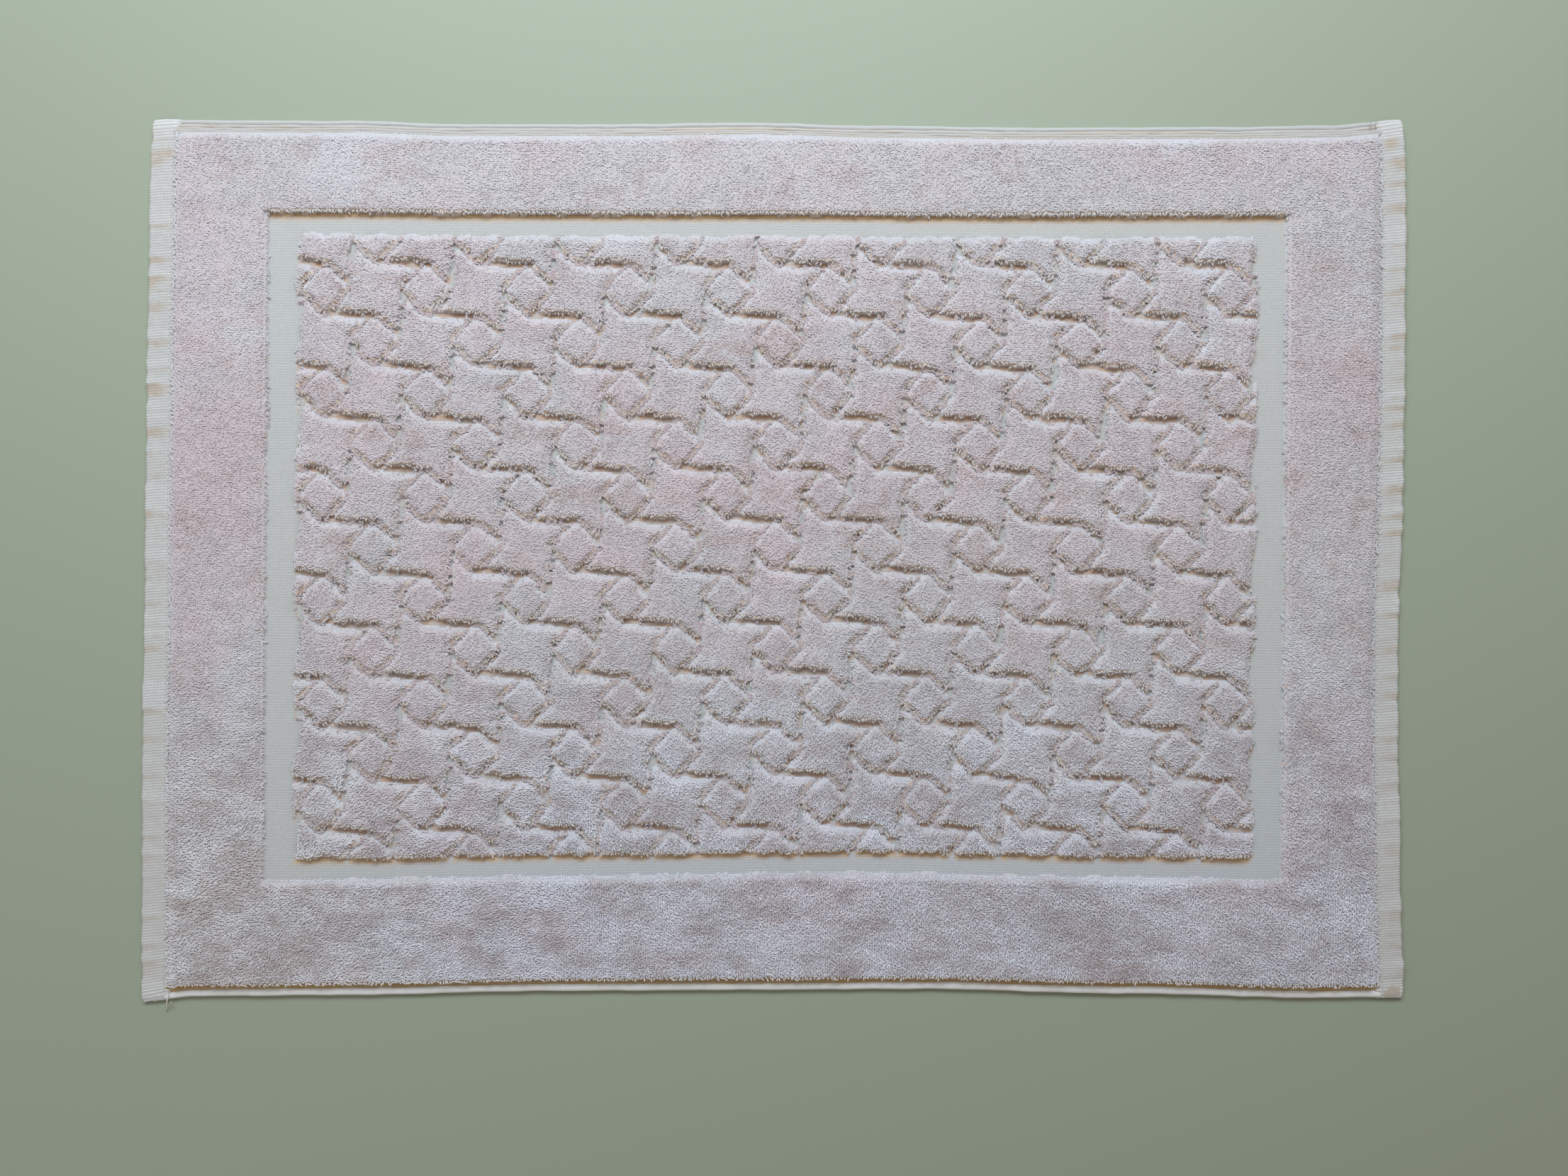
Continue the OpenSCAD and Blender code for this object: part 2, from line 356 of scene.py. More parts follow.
def mesh_piece(name, points, faces, colours, material, replaces=()):
    """A mesh object from arrays: points in millimetres, faces as rows of corners, a colour for each point."""
    mesh = bpy.data.meshes.new(name)
    points, faces = np.asarray(points, np.float32) * MM, np.asarray(faces, np.int32)
    corners_each = faces.shape[1]
    mesh.vertices.add(len(points))
    mesh.vertices.foreach_set("co", points.ravel())
    mesh.loops.add(faces.size)
    mesh.loops.foreach_set("vertex_index", faces.ravel())
    mesh.polygons.add(len(faces))
    mesh.polygons.foreach_set("loop_start", np.arange(len(faces), dtype=np.int32) * corners_each)
    mesh.polygons.foreach_set("use_smooth", np.ones(len(faces), bool))
    rgba = np.ones((len(points), 4), np.float32)
    rgba[:, :3] = colours
    layer = mesh.color_attributes.new("yarn", "FLOAT_COLOR", "POINT")
    layer.data.foreach_set("color", rgba.ravel())
    mesh.update(calc_edges=True)
    mesh.validate()
    mesh.materials.append(material)
    piece = bpy.data.objects.new(name, mesh)
    bpy.context.scene.collection.objects.link(piece)
    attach(piece, "root")
    if replaces:
        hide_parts(*replaces)
    return piece


def strand_faces(count, rings, width, gaps, flip):
    """Faces of count strands of so many rings of width points, joined over so many gaps of each ring."""
    k, m = np.meshgrid(np.arange(rings - 1), np.arange(gaps), indexing="ij")
    a, b = k * width + m, k * width + (m + 1) % width
    quad = np.stack([a, b, b + width, a + width], axis=-1).reshape(-1, 4)
    if flip:
        quad = quad[:, ::-1]
    return (np.arange(count)[:, None, None] * rings * width + quad).reshape(-1, 4)


def tube_faces(count, rings, sides, flip=False):
    """Faces of count open tubes."""
    return strand_faces(count, rings, sides, sides, flip)


def strip_faces(count, rings, flip=False):
    """Faces of count strands of three points to a ring: two flanks, and no underside."""
    return strand_faces(count, rings, STRIP_WIDTH, STRIP_WIDTH - 1, flip)


def unit(vectors):
    """Vectors made one long."""
    return vectors / np.maximum(np.linalg.norm(vectors, axis=-1, keepdims=True), 1e-9)


def strips(paths, radii, side, drop=0.25, crown=1.0):
    """Points of strands along paths (n, rings, 3): one on each flank and one on the crest of each ring.

    The flanks lie drop radii below the path, and the crest lies crown radii above it.
    """
    along = unit(np.gradient(paths, axis=1))
    across = np.broadcast_to(side[:, None, :], along.shape)
    up = unit(np.cross(across, along))
    r = radii[..., None]
    left, right = paths - across * r - up * drop * r, paths + across * r - up * drop * r
    crown = np.broadcast_to(crown, len(paths))[:, None, None]
    return np.stack([left, paths + up * r * crown, right], axis=2).reshape(-1, 3)


def ring_angles(sides):
    """The angles of a ring's points, from the top round."""
    return math.pi / 2 + 2 * math.pi * np.arange(sides) / sides


def tubes(paths, radii, side, sides):
    """Points of round tubes along paths (n, rings, 3), with radii (n, rings).

    side (n, 3) is a direction straight across each tube.
    """
    along = unit(np.gradient(paths, axis=1))
    across = np.broadcast_to(side[:, None, :], along.shape)
    up = unit(np.cross(along, across))
    angles = ring_angles(sides)
    c, s = np.cos(angles), np.sin(angles)
    ring = across[:, :, None, :] * c[:, None] + up[:, :, None, :] * s[:, None]
    return (paths[:, :, None, :] + ring * radii[:, :, None, None]).reshape(-1, 3)


def headings(angle):
    """Flat unit vectors along and to the right of each angle, in radians."""
    level = np.zeros(len(angle))
    along = np.stack([np.cos(angle), np.sin(angle), level], axis=1)
    side = np.stack([np.sin(angle), -np.cos(angle), level], axis=1)
    return along, side


def flat_arcs(x, y, heading, side, length, curl):
    """Three points for each strand in the plane, bowed sideways by curl in the middle."""
    path = (heading[:, None, :] * (STEP * length[:, None])[..., None]
            + side[:, None, :] * (BOW * curl[:, None])[..., None])
    path[..., 0] += x[:, None]
    path[..., 1] += y[:, None]
    return path


def lattice(pitch_x, pitch_y):
    """Places on a regular lattice over the whole face, row by row."""
    nx, ny = int(2 * HEM_X / pitch_x), int(2 * SELVEDGE_Y / pitch_y)
    i, j = np.meshgrid(np.arange(nx), np.arange(ny))
    return (i.ravel() - (nx - 1) / 2) * pitch_x, (j.ravel() - (ny - 1) / 2) * pitch_y


def strand_piece(name, points, colours, chosen, material, nodes=()):
    """One piece from the chosen strands, each of three rings of three points."""
    pick = np.repeat(chosen, STRAND_POINTS)
    faces = strip_faces(int(chosen.sum()), STRAND_RINGS)
    return mesh_piece(name, laid(points[pick]), faces, colours[pick], material, nodes)


# ---- materials


LEAST_ROUGHNESS = 0.84


def material(name, bump_size, bump_height, speckle=0.12):
    """A yarn's material: its colour comes from the mesh.

    A fine fibre noise goes over it in colour, roughness and bump.
    """
    mat = bpy.data.materials.new(name)
    mat.use_nodes = True
    nodes, links = mat.node_tree.nodes, mat.node_tree.links
    shader = nodes["Principled BSDF"]
    for socket, value in [("Sheen Weight", 0.25), ("Sheen Roughness", 0.6), ("Specular IOR Level", 0.18)]:
        shader.inputs[socket].default_value = value
    place = nodes.new("ShaderNodeTexCoord")
    fibre = nodes.new("ShaderNodeTexNoise")
    for socket, value in [("Scale", 1 / (bump_size * MM)), ("Detail", 3), ("Roughness", 0.65)]:
        fibre.inputs[socket].default_value = value
    links.new(place.outputs["Object"], fibre.inputs["Vector"])

    def spread(least, most):
        """The fibre noise, spread over a range."""
        ranged = nodes.new("ShaderNodeMapRange")
        ranged.inputs["To Min"].default_value = least
        ranged.inputs["To Max"].default_value = most
        links.new(fibre.outputs["Fac"], ranged.inputs["Value"])
        return ranged.outputs["Result"]

    colour = nodes.new("ShaderNodeAttribute")
    colour.attribute_name = "yarn"
    tint = nodes.new("ShaderNodeVectorMath")
    tint.operation = "SCALE"
    links.new(colour.outputs["Color"], tint.inputs[0])
    links.new(spread(1 - speckle, 1 + speckle), tint.inputs["Scale"])
    links.new(tint.outputs["Vector"], shader.inputs["Base Color"])
    links.new(spread(LEAST_ROUGHNESS, 1.0), shader.inputs["Roughness"])
    bump = nodes.new("ShaderNodeBump")
    bump.inputs["Strength"].default_value = 0.6
    bump.inputs["Distance"].default_value = bump_height * MM
    links.new(fibre.outputs["Fac"], bump.inputs["Height"])
    links.new(bump.outputs["Normal"], shader.inputs["Normal"])
    return mat


terry_mat = material("terry_loops", 0.35, 0.12)
bed_mat = material("pile_depth", 0.6, 0.2, speckle=0.2)
weave_mat = material("plain_weave", 0.4, 0.08)
hem_mat = material("ribbed_hem", 0.4, 0.08)
edge_mat = material("selvedge_yarn", 0.4, 0.08)
thread_mat = material("sewing_thread", 0.25, 0.05)

# Colours are linear.
LILAC = np.array([0.65, 0.64, 0.685])
ROSE = np.array([0.69, 0.60, 0.65])
PINK_BROWN = np.array([0.55, 0.44, 0.435])
BLUE_WHITE = np.array([0.68, 0.705, 0.765])
WARM_WHITE = np.array([0.72, 0.69, 0.63])
DEPTH = np.array([0.62, 0.56, 0.57])
BROWN = np.array([0.66, 0.44, 0.32])
CHANNEL_BROWN = np.array([0.73, 0.485, 0.26])
WALL_SHADE_BROWN = np.array([0.88, 0.62, 0.40])
SHADOW_GREY = np.array([0.42, 0.43, 0.42])
WEAVE = np.array([0.59, 0.61, 0.61])
CREAM = np.array([0.595, 0.60, 0.60])
WHITE = np.array([0.66, 0.68, 0.69])
TAN = np.array([0.53, 0.435, 0.33])
STRIP_SHADE_BROWN = np.array([0.50, 0.35, 0.16])
# Painted light: the mat is painted paler low down, and bluer there away from its left end, as if more and
# cooler light fell there.
LOW_LIGHT_TINT = np.array([1.10, 1.10, 1.08])  # how much paler the mat is low down
COOL_LIGHT_TINT = np.array([0.98, 1.01, 1.08])  # and how much bluer, away from its left end


# ---- face pile


def lowness(y):
    """From 0 in the upper half of the mat to 1 at its lower edge."""
    return smoothstep(-y / 190)


def low_light_tint(x, y):
    """What the colours are multiplied by: painted light, which makes them paler low down, and bluer there
    away from the left end, as if more and cooler light fell there.
    """
    low = lowness(y)
    return mix(np.ones(3), LOW_LIGHT_TINT, low) * mix(np.ones(3), COOL_LIGHT_TINT, low * smoothstep((x + 340) / 220))


def loop_tint(x, y, rng):
    """The colour of loops at places: lilac, pinker across the middle, with brownish and bluish patches; low
    down, painted patches of shade and highlight, and painted light that makes them paler and bluer.
    """
    middle = np.exp(-((y - 70) / 110) ** 2)
    patch = 0.6 * lattice_noise(x, y, 46, 41) + 0.4 * lattice_noise(x, y, 17, 42)
    left_side = np.exp(-((x + 320) / 60) ** 2 - ((y - 20) / 110) ** 2)
    pinkness = np.clip(0.6 * middle + 0.7 * patch + 0.4 * left_side, 0, 1)
    low_edge = smoothstep((-224 - y) / 10)
    spot = 0.6 * lattice_noise(x / 1.7, y, 12, 43) + 0.4 * lattice_noise(x / 1.5, y, 4, 44) + 0.25 * low_edge
    brownness = 0.6 * smoothstep((spot - 0.15) / 0.6) * (0.6 + 0.4 * middle)
    colour = mix(mix(LILAC, ROSE, pinkness), PINK_BROWN, brownness)
    blueness = 0.7 * lattice_noise(x, y, 30, 45) + 0.3 * lattice_noise(x, y, 9, 46) - 0.35 * middle
    colour = mix(colour, BLUE_WHITE * 1.04, 0.6 * smoothstep((blueness - 0.05) / 0.5))
    low = lowness(y)
    # Painted shade and painted highlight: low down, long patches along X are painted darker and pink-brown in
    # some places, paler and bluish white in others, for an uneven pile.
    patch_shading = 0.7 * lattice_noise(x / 2.2, y, 9, 47) + 0.5 * lattice_noise(x / 1.8, y, 3.5, 48)
    colour = mix(colour, PINK_BROWN, 0.5 * low * np.clip(-patch_shading, 0, 1))
    colour = mix(colour, BLUE_WHITE, 0.5 * low * np.clip(patch_shading, 0, 1))
    shade = 1 + (0.07 + 0.08 * low) * patch_shading + (0.055 + 0.05 * low) * rng.uniform(-1, 1, len(x))
    return colour * low_light_tint(x, y) * shade[:, None]


def grain_heading(x, y):
    """Which way the loops lie, in degrees from +X: nearly across the mat, and steeper in its lower middle."""
    steep = np.exp(-(x / 120) ** 2) * (0.3 + 0.7 * smoothstep((60 - y) / 160))
    low = smoothstep(-y / 150)
    sideways = -38 + 66 * low * smoothstep(-x / 200) - 20 * low * smoothstep(x / 200)
    patches = 22 * lattice_noise(x, y, 45, 51) + 26 * lattice_noise(x, y, 13, 52)
    return sideways * (1 - steep) - 75 * steep + patches + 14 * lattice_noise(x, y, 4, 53)


def apron_share(x, y):
    """From 1 at the upper edge of the pile, where the loops are combed down over it, to 0 further in."""
    return 1 - smoothstep((pile.at(pile.to_top, x, y) - 0.8) / 2.6)


def edge_shares(x, y):
    """How much each loop belongs to an upper edge, to a hanging lower edge and to a narrow groove."""
    valley = pile.is_narrow(x, y)
    apron = apron_share(x, y) * ~valley
    fringe = (1 - smoothstep((pile.at(pile.to_bottom, x, y) - 0.8) / 1.0)) * (1 - apron) * ~valley
    return apron, fringe, valley


def side_splay(x, y, valley, rng):
    """How far the loops at the sides of a motif splay out over the groove."""
    at_right = pile.at(pile.to_right, x, y) < SPLAY_REACH
    at_left = pile.at(pile.to_left, x, y) < SPLAY_REACH
    return (at_right.astype(float) - at_left) * rng.uniform(0.0, 1.1, len(x)) * ~valley


def face_loop_colours(x, y, apron, fringe, valley, rng):
    """One colour for each loop, changed at the pile's edges and beside the hems: a painted highlight on the
    upper edges and painted shade in the narrow grooves.
    """
    beside_hem = 1 - smoothstep((HEM_X - np.abs(x) - 0.5) / 3.5)
    colour = loop_tint(x, y, rng)
    # Painted shade: pink-brown in the narrow grooves.
    colour = mix(colour, PINK_BROWN, 0.5 * valley)
    # Painted highlight: bluish white on the upper edges of the pile.
    colour = mix(colour, BLUE_WHITE, 0.4 * apron)
    colour = mix(colour, WARM_WHITE, 0.65 * fringe)
    return mix(colour, BLUE_WHITE, 0.5 * beside_hem)


def face_loops(x, y, rng):
    """Points and colours of one bent strand for each loop whose crest is at x, y."""
    n = len(x)
    height = pile_height(x, y)
    apron, fringe, valley = edge_shares(x, y)
    combed = np.maximum(apron, fringe)
    with_grain = grain_heading(x, y) + rng.normal(0, 32, n)
    downwards = -90 + rng.normal(0, 30, n)
    heading, side = headings(np.radians(with_grain * (1 - combed) + downwards * combed))
    length = rng.uniform(1.6, 2.3, n) * (1 + 0.1 * fringe)
    radius = rng.uniform(0.37, 0.47, n) * (1 + 0.25 * apron + 0.2 * fringe)
    curl = rng.normal(0, 0.28, n) * (1 - 0.6 * combed)
    crest = height * (rng.uniform(0.94, 1.05, n) - 0.10 * lowness(y) * rng.uniform(0, 1, n))
    tilt = rng.normal(0, 0.03, n)
    splay = side_splay(x, y, valley, rng)
    crest = crest * (1 - 0.2 * np.abs(splay))
    lean_x = rng.normal(0.1, 0.25, n) * height / PILE_H
    lean_y = -(LEAN + rng.normal(0, 0.25, n)) * height / PILE_H
    hang = fringe * rng.uniform(0.2, 1.0, n)
    path = flat_arcs(x, y, heading, side, length, curl)
    path[..., 0] += lean_x[:, None] * (LOOP_RISE - 1) + splay[:, None]
    path[..., 1] += lean_y[:, None] * (LOOP_RISE - 1) - hang[:, None]
    droop = np.stack([np.zeros(n), np.zeros(n), 0.2 * fringe], axis=1)
    path[..., 2] = FACE_Z + (LOOP_RISE - droop) * crest[:, None] + tilt[:, None] * STEP * height[:, None]
    points = strips(path, radius[:, None] * LOOP_TAPER, side, drop=0.2, crown=0.72 - 0.3 * apron)
    colour = face_loop_colours(x, y, apron, fringe, valley, rng)
    return points, np.repeat(colour, STRAND_POINTS, axis=0)


def make_face_pile():
    """The face loops, as the border's bars and the panel's rows of motifs."""
    rng = np.random.default_rng(PLACE_SEED)
    x, y = lattice(*LOOP_PITCH)
    x, y = x + rng.normal(0, 0.2, x.size), y + rng.normal(0, 0.2, y.size)
    kind = pile.at(pile.kind, x, y)
    row = pile.at(pile.row, x, y)
    border = kind == BORDER
    wheels = (kind == WHEEL) | pile.is_narrow(x, y)
    above, below = y > RECESS_HIGH[1], y < RECESS_LOW[1]
    middle, left = ~above & ~below, x < 0
    groups = [
        ("border_top_loops_left", border & above & left, "border_pile_top"),
        ("border_top_loops_right", border & above & ~left, "border_pile_top"),
        ("border_bottom_loops_left", border & below & left, "border_pile_bottom"),
        ("border_bottom_loops_right", border & below & ~left, "border_pile_bottom"),
        ("border_left_loops", border & middle & left, "border_pile_left"),
        ("border_right_loops", border & middle & ~left, "border_pile_right"),
    ]
    motifs = [
        ("pinwheel", wheels, [(1, 3), (4, 5), (6, 7), (8, 9), (10, 11), (12, 13)]),
        ("lozenge", kind == DIAMOND, [(1, 7), (8, 13)]),
    ]
    for motif, of_motif, spans in motifs:
        for first, last in spans:
            rows = (row + 1 >= first) & (row + 1 <= last)
            groups.append((f"{motif}_loops_rows_{first}_to_{last}", of_motif & rows, f"{motif}_tufts"))
    made = []
    for k, (name, chosen, node) in enumerate(groups):
        rng = np.random.default_rng(LOOP_SEED + k)
        points, colours = face_loops(x[chosen], y[chosen], rng)
        faces = strip_faces(int(chosen.sum()), STRAND_RINGS)
        made.append(mesh_piece(name, laid(points), faces, colours, terry_mat, [node]))
    return made


# ---- pile bed


def grid_sheet(xs, ys):
    """A grid's points (x, y) and its faces, row by row."""
    x, y = np.meshgrid(xs, ys)
    w = len(xs)
    a = (np.arange(len(ys) - 1)[:, None] * w + np.arange(w - 1)).ravel()
    faces = np.stack([a, a + 1, a + 1 + w, a + w], axis=1)
    return x.ravel(), y.ravel(), faces


def keep_faces(points, faces, colours, keep):
    """Only the chosen faces, with the points that they use."""
    faces = faces[keep]
    used, back = np.unique(faces, return_inverse=True)
    return points[used], back.reshape(faces.shape), colours[used]


def bed_colours(x, y, narrow, rng):
    """The bed is painted darker than the loops, as shade deep in the pile, with a painted highlight on the
    upper slopes, painted brown shadow on the lower walls and painted pink-brown shade in the narrow grooves.
    """
    # Painted shade: the bed is mixed towards DEPTH, and a little darker still low down.
    colours = mix(loop_tint(x, y, rng), DEPTH, 0.7) * (1 - 0.08 * lowness(y))[:, None]
    # Painted shade in the narrow grooves.
    colours[narrow] = PINK_BROWN * 0.8
    apron = apron_share(x, y) * ~narrow
    # Painted highlight on the upper slopes.
    colours = mix(colours, BLUE_WHITE * 0.9, 0.75 * apron)
    # Painted brown shadow on the lower walls, under the pile's hanging edge.
    wall = (1 - smoothstep(pile.at(pile.to_bottom, x, y) / 2.5)) * ~narrow
    colours = mix(colours, WALL_SHADE_BROWN, 0.85 * wall * (1 - apron))
    at_side = 1 - smoothstep(pile.to_sides(x, y) / 1.8)
    return mix(colours, WEAVE, 0.8 * at_side * (1 - wall) * ~narrow)


def make_bed(name, low, high, kinds, cell):
    """The dense lower half of the loops, which closes the gaps between the tops."""
    xs = np.linspace(low[0], high[0], int((high[0] - low[0]) / cell) + 1)
    ys = np.linspace(low[1], high[1], int((high[1] - low[1]) / cell) + 1)
    x, y, faces = grid_sheet(xs, ys)
    rng = np.random.default_rng(BED_SEED)
    narrow = pile.is_narrow(x, y) & (WHEEL in kinds)
    here = np.isin(pile.at(pile.kind, x, y), kinds) | narrow
    depth = rng.uniform(0.08, 0.18, x.size) + 0.13 * lowness(y)
    height = np.where(here, pile_height(x, y) * (1 - depth), -BED_FOOT)
    at_edge = (np.abs(x) > HEM_X - 0.1) | (np.abs(y) > SELVEDGE_Y - 0.1)
    height[at_edge] = -EDGE_DROP
    points = np.stack([x, y, FACE_Z + height], axis=1)
    colours = bed_colours(x, y, narrow, rng)
    points, faces, colours = keep_faces(points, faces, colours, here[faces].any(axis=1))
    return mesh_piece(name, laid(points), faces, colours, bed_mat)


# ---- ground cloth


def ground_tone(x, y):
    """The ground's colour: painted brown shade under a lower edge of pile, painted pink-brown and grey shade
    beside the pile's side edges, and pale where it lies open.
    """
    below = pile.at(pile.below_edge, x, y)
    shade = np.exp(-np.maximum(below - 2.6, 0) / 0.9) * (below > 0)
    beside = pile.at(pile.right_of_edge, x, y)
    side_shade = 0.25 * np.exp(-beside / 1.0) * (beside > 0)
    stain = smoothstep((lattice_noise(x, y, 26, 81) + 0.5 * lattice_noise(x, y, 9, 82) - 0.45) / 0.7)
    colour = mix(WEAVE, CREAM * 0.92, 0.5 * stain)
    colour = mix(colour, PINK_BROWN, side_shade)
    # Painted shadow: grey on the ground at the foot of a pile wall that faces -X.
    before = pile.at(pile.left_of_edge, x, y)
    colour = mix(colour, SHADOW_GREY, 0.85 * np.exp(-before / 1.2) * (before > 0))
    channel = (y > panel_high[1]) | (y < panel_low[1])
    brown = np.where(channel[:, None], CHANNEL_BROWN, BROWN)
    # Low down the cloth is painted bluer, as the loops are, as if cooler light fell there, but no paler.
    colour = colour * low_light_tint(x, y) / mix(np.ones(3), LOW_LIGHT_TINT, lowness(y))
    return mix(colour, brown, 0.92 * np.clip(shade, 0, 1))


def make_ground():
    """The cloth's own sheet. Past the pile it runs down into the selvedges."""
    xs = np.linspace(-HEM_X, HEM_X, int(2 * HEM_X / GROUND_CELL) + 1)
    ys = np.linspace(-SELVEDGE_Y, SELVEDGE_Y, int(2 * SELVEDGE_Y / GROUND_CELL) + 1)
    web = SELVEDGE_Y + np.array([1.0, 2.2, 3.2, 4.2])
    x, y, faces = grid_sheet(xs, np.concatenate([-web[::-1], ys, web]))
    past = np.abs(y) - SELVEDGE_Y
    points = np.stack([x, y, FACE_Z - GROUND_SINK - WEB_DROP * smoothstep((past + 1.5) / 4)], axis=1)
    # Past the lower edge of the pile, the sheet is painted brown, as shade under the pile's hanging edge.
    web_colour = np.where((y > 0)[:, None], CREAM, STRIP_SHADE_BROWN)
    colour = mix(ground_tone(x, y) * 0.93, web_colour, smoothstep((past + 2) / 2))
    return mesh_piece("ground_cloth_sheet", laid(points), faces, colour, weave_mat,
                      ["ground_cloth"])


def make_floats():
    """The small yarn floats of the plain weave, wherever the ground shows."""
    x, y = lattice(FLOAT_PITCH, RIB_PITCH)
    empty = (pile.at(pile.kind, x, y) == EMPTY) & ~pile.is_narrow(x, y)
    open_ground = empty & (y < RECESS_HIGH[1] + 3)
    x, y = x[open_ground], y[open_ground]
    rng = np.random.default_rng(FLOAT_SEED)
    n = len(x)
    heading, side = headings(np.radians(rng.normal(-8, 5, n)))
    length = rng.uniform(1.25, 1.5, n)
    path = flat_arcs(x, y, heading, side, length, np.zeros(n))
    path[..., 0] += rng.normal(0, 0.05, n)[:, None]
    path[..., 1] += rng.normal(0, 0.04, n)[:, None]
    path[..., 2] = FACE_Z + np.array([-0.32, -0.22, -0.32]) + rng.normal(0, 0.02, n)[:, None]
    points = strips(path, np.tile([0.40, 0.60, 0.40], (n, 1)), side, drop=0.0)
    # Each crest stands a set height above its flanks.
    points[1::3, 2] = (points[0::3, 2] + points[2::3, 2]) / 2 + 0.30
    colour = ground_tone(x, y) * rng.uniform(0.95, 1.05, n)[:, None]
    # Painted shade: each float's two ends, where it dips into the weave, are a little darker than its middle.
    ring_colours = (colour[:, None, :] * np.array([0.92, 1.0, 0.92])[:, None]).reshape(-1, 3)
    colours = np.repeat(ring_colours, STRIP_WIDTH, axis=0)
    in_panel = (np.abs(x) < panel_high[0]) & (y > panel_low[1]) & (y < panel_high[1])
    groups = [
        ("channel_weave", ~in_panel),
        ("groove_weave_left", in_panel & (x < 0)),
        ("groove_weave_right", in_panel & (x >= 0)),
    ]
    return [strand_piece(name, points, colours, chosen, weave_mat) for name, chosen in groups]


# ---- the back


def make_back():
    """The loops of the underside, in quarters, and the bed that closes the gaps between them."""
    rng = np.random.default_rng(BACK_SEED)
    x, y = lattice(BACK_PITCH, BACK_PITCH)
    x = np.clip(x + rng.normal(0, 0.3, x.size), -HEM_X + BACK_INSET, HEM_X - BACK_INSET)
    y = np.clip(y + rng.normal(0, 0.3, y.size), -SELVEDGE_Y + BACK_INSET, SELVEDGE_Y - BACK_INSET)
    n = len(x)
    heading, side = headings(np.radians(rng.normal(90, 45, n)))
    length = rng.uniform(2.8, 3.6, n)
    path = flat_arcs(x, y, heading, side, length, rng.normal(0, 0.45, n))
    radius = rng.uniform(0.55, 0.68, n)
    path[..., 2] = BACK_FOOT * (1 - BOW) + radius[:, None] * BOW
    points = strips(path, radius[:, None] * BACK_TAPER, -side)
    colours = np.repeat(loop_tint(x, y, rng), STRAND_POINTS, axis=0)
    left, low = x < 0, y < 0
    groups = [
        ("back_loops_left_bottom", left & low),
        ("back_loops_left_top", left & ~low),
        ("back_loops_right_bottom", ~left & low),
        ("back_loops_right_top", ~left & ~low),
    ]
    made = [strand_piece(name, points, colours, chosen, terry_mat, ["back_pile"])
            for name, chosen in groups]
    half_x, half_y = HEM_X + BACK_BED_MARGIN, SELVEDGE_Y + BACK_BED_MARGIN
    xs, ys = np.linspace(-half_x, half_x, BACK_BED_COLUMNS), np.linspace(-half_y, half_y, BACK_BED_ROWS)
    x, y, faces = grid_sheet(xs, ys)
    bed = np.stack([x, y, np.full(x.size, BACK_H * 0.5)], axis=1)
    # Painted shade: the back's bed is darker than its loops, deep between them.
    bed_colour = mix(loop_tint(x, y, rng) * 0.6, DEPTH, 0.5)
    made.append(mesh_piece("back_pile_bed", laid(bed), faces[:, ::-1], bed_colour, bed_mat))
    return made


# ---- hems


def hem_ripple(side_sign, v):
    """How far the hem puckers up along its length, from -1 to 1."""
    still = np.full(np.shape(v), 0.5)
    coarse = lattice_noise(v, still, 5.0, 220 + side_sign)
    return 0.8 * coarse + 0.35 * lattice_noise(v, still, 2.6, 223 + side_sign)


def wrap_hem(side_sign, u, v, w):
    """Where a place u round the folded band, v along the hem and w above its surface lies."""
    u, v, w = np.broadcast_arrays(u, v, w)
    ends = smoothstep((HEM_END - np.abs(v)) / 2.2)
    half = (HEM_H / 2 - HEM_RIB) * (0.4 + 0.6 * ends)
    turn = np.clip((u - HEM_FLAT) / (HEM_H / 2), 0, math.pi)
    after = np.maximum(u - HEM_FLAT - math.pi * HEM_H / 2, 0)
    flat = HEM_X + np.minimum(u, HEM_FLAT)
    at_seam = np.exp(-((flat - SEAM_X) / 0.9) ** 2) * (u < HEM_FLAT)
    at_pile = 1 - smoothstep((u + HEM_OVERLAP) / 3.0)
    x = flat + (half + w) * np.sin(turn) - after
    z = HEM_H / 2 + (half + w) * np.cos(turn) - (0.15 * at_seam + 0.3 * at_pile)
    far = np.clip((np.abs(x) - SEAM_X) / (MAT_X - SEAM_X), 0, 1)
    lift = hem_ripple(side_sign, v)
    x = x + 0.35 * lift * far
    z = z + 0.55 * (lift + 0.35) * far * ends * smoothstep(z)
    return np.stack([x * side_sign, v, z], axis=-1)


def rib_colours(side_sign, u, v, corner, rng):
    """One colour for each rib: cream with tan marks, painted tan shade on one slope of each pucker, a painted
    highlight on the raised puckers, and whiter near the corners.
    """
    lift = hem_ripple(side_sign, v)
    slope = hem_ripple(side_sign, v + 2.5) - hem_ripple(side_sign, v - 2.5)
    # Painted shade: tan on the slope of each pucker that faces away from the light, with some noise.
    pucker_shade = 0.9 * slope - 0.5 * lift + 0.3 * lattice_noise(v, u, 3, 212)
    tone = smoothstep((pucker_shade - 0.1) / 0.6) * (1 - 0.6 * corner)
    tone = tone * (0.35 + 0.65 * smoothstep((u - 2) / 5)) * (0.45 + 0.55 * smoothstep((v + 120) / 160))
    for mark_u, mark_v, mark_size in HEM_MARKS[side_sign]:
        tone = np.maximum(tone, smoothstep(1.5 - np.hypot(u - mark_u, v - mark_v) / mark_size))
    colour = mix(CREAM, TAN, 0.8 * tone)
    # Painted highlight: whiter on the raised puckers.
    colour = mix(colour, WHITE, 0.7 * smoothstep((lift - 0.1) / 0.5) * (1 - tone))
    return mix(colour, WHITE * 1.08, 0.7 * corner * (tone < 0.5)) * rng.uniform(0.96, 1.05, u.size)[:, None]


